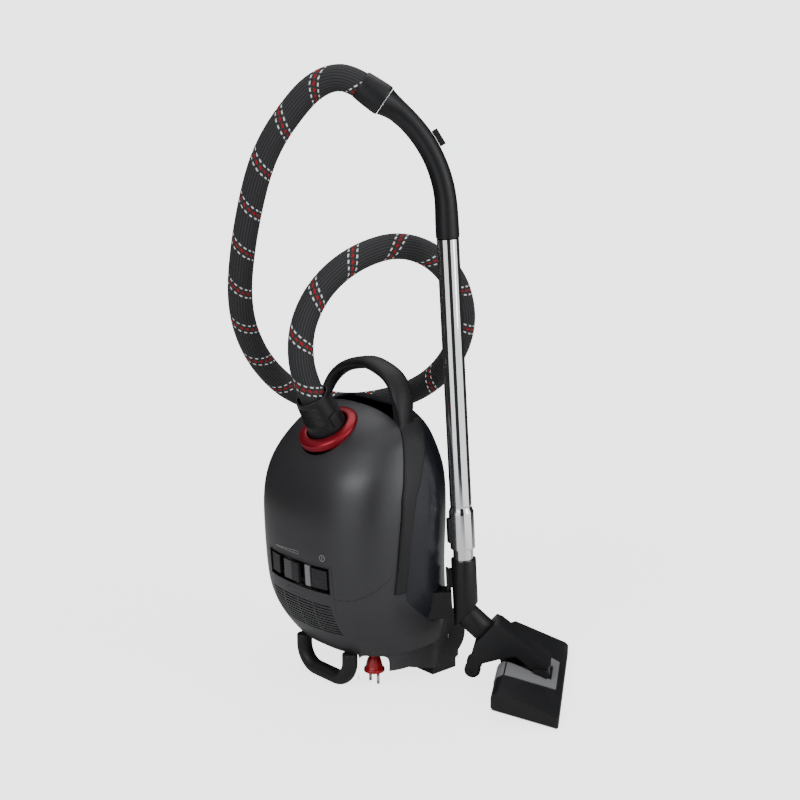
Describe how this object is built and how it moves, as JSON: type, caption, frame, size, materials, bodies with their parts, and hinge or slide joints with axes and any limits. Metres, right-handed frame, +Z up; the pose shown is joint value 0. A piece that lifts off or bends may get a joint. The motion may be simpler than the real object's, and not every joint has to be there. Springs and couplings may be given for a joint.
{
  "type": "canister vacuum cleaner",
  "caption": "Bagged canister vacuum cleaner standing on its tail, with a fabric hose, a parked telescopic wand and a floor nozzle.",
  "frame": {"origin": "middle of the tail handle's stand face, on the floor", "axes": "+Z up along the standing cleaner, deck and hose inlet towards -Y, underside and wheels towards +Y"},
  "size_m": [0.62, 0.4444, 0.9815],
  "materials": {
    "casing_grey": "satin",
    "pan_black": "fine matte",
    "soft_touch": "soft touch",
    "black_plastic": "matte",
    "ring_red": "satin",
    "plug_red": "satin",
    "pin_steel": "brushed",
    "panel_button": "dotted",
    "slider_gloss": "gloss",
    "chrome_tube": "polished",
    "wheel_rubber": "matte",
    "cover_grey": "satin",
    "bristle": "bristle",
    "hose_fabric": "woven",
    "bag_paper": "fleece",
    "filter_foam": "open foam",
    "seal_rubber": "matte",
    "motor_steel": "plain",
    "inner_plastic": "plain",
    "bag_card": "card",
    "board_green": "lacquered",
    "cord_black": "satin"
  },
  "bodies": {
    "canister": {"arch_handle": "soft_touch", "lower_pan": "pan_black", "tail_housing": "casing_grey", "control_strip": "casing_grey", "tail_handle": "casing_grey", "wheel_axle_left": "pin_steel", "wheel_axle_right": "pin_steel", "caster_seat": "black_plastic", "motor_bulkhead": "black_plastic", "motor_mount": "seal_rubber", "motor_body": "motor_steel", "fan_cover": "black_plastic", "motor_filter": "filter_foam", "exhaust_filter": "filter_foam", "control_board": "board_green", "dust_bag": "bag_paper", "bag_collar": "bag_card", "reel_bracket": "inner_plastic", "mains_plug": "plug_red", "plug_pins": "pin_steel", "cord_guide": "black_plastic", "park_socket": "pan_black", "tail_screws": "pin_steel", "hose": "hose_fabric"},
    "lid": {"deck_lid": "casing_grey", "inlet_ring": "ring_red", "inlet_socket": "black_plastic", "lid_seal": "seal_rubber"},
    "cuff": {"hose_cuff": "black_plastic"},
    "cuff_latch_left": {"cuff_latch_left": "black_plastic"},
    "cuff_latch_right": {"cuff_latch_right": "black_plastic"},
    "power_slider": {"power_slider": "slider_gloss"},
    "power_button": {"power_button": "panel_button"},
    "rewind_button": {"rewind_button": "panel_button"},
    "filter_latch": {"filter_latch": "black_plastic"},
    "wheel_left": {"rear_wheel_left": "wheel_rubber"},
    "wheel_right": {"rear_wheel_right": "wheel_rubber"},
    "caster_fork": {"caster_fork": "black_plastic"},
    "caster_wheel": {"caster_wheel": "wheel_rubber"},
    "rotor": {"motor_rotor": "motor_steel", "fan_impeller": "inner_plastic"},
    "reel": {"cord_reel": "inner_plastic", "cord_winding": "cord_black"},
    "wand_lower": {"wand_sleeve": "soft_touch", "inner_tube": "chrome_tube"},
    "wand_upper": {"outer_tube": "chrome_tube", "hand_grip": "soft_touch"},
    "lock_key": {"lock_key": "black_plastic"},
    "vent_slider": {"vent_slider": "black_plastic"},
    "grip_collar": {"grip_collar": "black_plastic"},
    "elbow": {"elbow": "soft_touch", "neck": "soft_touch"},
    "neck_rollers": {"neck_rollers": "wheel_rubber"},
    "nozzle": {"nozzle_body": "black_plastic", "sole_plate": "pin_steel", "nozzle_cover": "cover_grey", "pedal_pin": "pin_steel"},
    "pedal": {"pedal": "black_plastic"},
    "brushes": {"brush_strips": "bristle"}
  },
  "joints": [
    {"name": "lid_hinge", "type": "hinge", "parent": "canister", "child": "lid", "pos_m": [0, -0.052, 0.168], "axis": [1, 0, 0], "range_deg": [0, 55], "deforming": ["hose"]},
    {"name": "cuff_swivel", "type": "hinge", "parent": "lid", "child": "cuff", "pos_m": [0, 0.00818, 0.419], "axis": [0, -0.5, 0.866], "continuous": true},
    {"name": "cuff_latch_left_press", "type": "slide", "parent": "cuff", "child": "cuff_latch_left", "axis": [1, 0, 0], "range_m": [0, 0.0014], "stiffness_N_per_m": 400},
    {"name": "cuff_latch_right_press", "type": "slide", "parent": "cuff", "child": "cuff_latch_right", "axis": [-1, 0, 0], "range_m": [0, 0.0014], "stiffness_N_per_m": 400},
    {"name": "power_slide", "type": "slide", "parent": "canister", "child": "power_slider", "axis": [1, 0, 0], "range_m": [-0.012, 0.012]},
    {"name": "power_button_press", "type": "slide", "parent": "canister", "child": "power_button", "axis": [0, 1, 0], "range_m": [0, 0.002], "stiffness_N_per_m": 400},
    {"name": "rewind_button_press", "type": "slide", "parent": "canister", "child": "rewind_button", "axis": [0, 1, 0], "range_m": [0, 0.002], "stiffness_N_per_m": 400},
    {"name": "filter_latch_press", "type": "slide", "parent": "canister", "child": "filter_latch", "axis": [0, 1, 0], "range_m": [0, 0.002], "stiffness_N_per_m": 400},
    {"name": "wheel_left_spin", "type": "hinge", "parent": "canister", "child": "wheel_left", "pos_m": [-0.084, 0.173, 0.058], "axis": [1, 0, 0], "continuous": true},
    {"name": "wheel_right_spin", "type": "hinge", "parent": "canister", "child": "wheel_right", "pos_m": [0.084, 0.173, 0.058], "axis": [1, 0, 0], "continuous": true},
    {"name": "caster_swivel", "type": "hinge", "parent": "canister", "child": "caster_fork", "pos_m": [0, 0.167, 0.335], "axis": [0, 1, 0], "continuous": true},
    {"name": "caster_spin", "type": "hinge", "parent": "caster_fork", "child": "caster_wheel", "pos_m": [0, 0.19701, 0.326], "axis": [1, 0, 0], "continuous": true},
    {"name": "rotor_spin", "type": "hinge", "parent": "canister", "child": "rotor", "pos_m": [-0.045, 0.067, 0.14], "axis": [0, 0, 1], "continuous": true},
    {"name": "reel_spin", "type": "hinge", "parent": "canister", "child": "reel", "pos_m": [0.07, 0.08, 0.152], "axis": [1, 0, 0], "continuous": true},
    {"name": "wand_lift", "type": "slide", "parent": "canister", "child": "wand_lower", "axis": [-0.0374, -0.0415, 0.9984], "range_m": [0, 0.05], "deforming": ["hose"]},
    {"name": "telescope", "type": "slide", "parent": "wand_lower", "child": "wand_upper", "axis": [-0.0374, -0.0415, 0.9984], "range_m": [0, 0.3], "deforming": ["hose"]},
    {"name": "lock_key_press", "type": "slide", "parent": "wand_upper", "child": "lock_key", "axis": [0.3736, 0.9261, 0.0525], "range_m": [0, 0.0015], "stiffness_N_per_m": 400},
    {"name": "vent_slide", "type": "slide", "parent": "wand_upper", "child": "vent_slider", "axis": [-0.3526, -0.3916, 0.8499], "range_m": [-0.003, 0.003]},
    {"name": "collar_swivel", "type": "hinge", "parent": "wand_upper", "child": "grip_collar", "pos_m": [0.08208, 0.05357, 0.92558], "axis": [-0.5495, -0.6102, 0.5707], "continuous": true},
    {"name": "elbow_swivel", "type": "hinge", "parent": "wand_lower", "child": "elbow", "pos_m": [0.16894, 0.15004, 0.12181], "axis": [0.5791, 0.4687, -0.6671], "range_deg": [-20, 20]},
    {"name": "roller_spin", "type": "hinge", "parent": "elbow", "child": "neck_rollers", "pos_m": [0.17912, 0.15828, 0.034], "axis": [-0.6291, 0.7773, 0], "continuous": true},
    {"name": "nozzle_pivot", "type": "hinge", "parent": "elbow", "child": "nozzle", "pos_m": [0.26377, 0.22679, 0.034], "axis": [-0.6291, 0.7773, 0], "range_deg": [-10, 10]},
    {"name": "pedal_rock", "type": "hinge", "parent": "nozzle", "child": "pedal", "pos_m": [0.2124, 0.25211, 0.03842], "axis": [-0.6291, 0.7773, 0], "range_deg": [-0.1, 10.1]},
    {"name": "brush_drop", "type": "slide", "parent": "nozzle", "child": "brushes", "axis": [0, 0, -1], "range_m": [0, 0.0035]}
  ],
  "couplings": [
    {"joint": "pedal_rock", "follows": "brush_drop", "rad_per_m": 49.87}
  ]
}
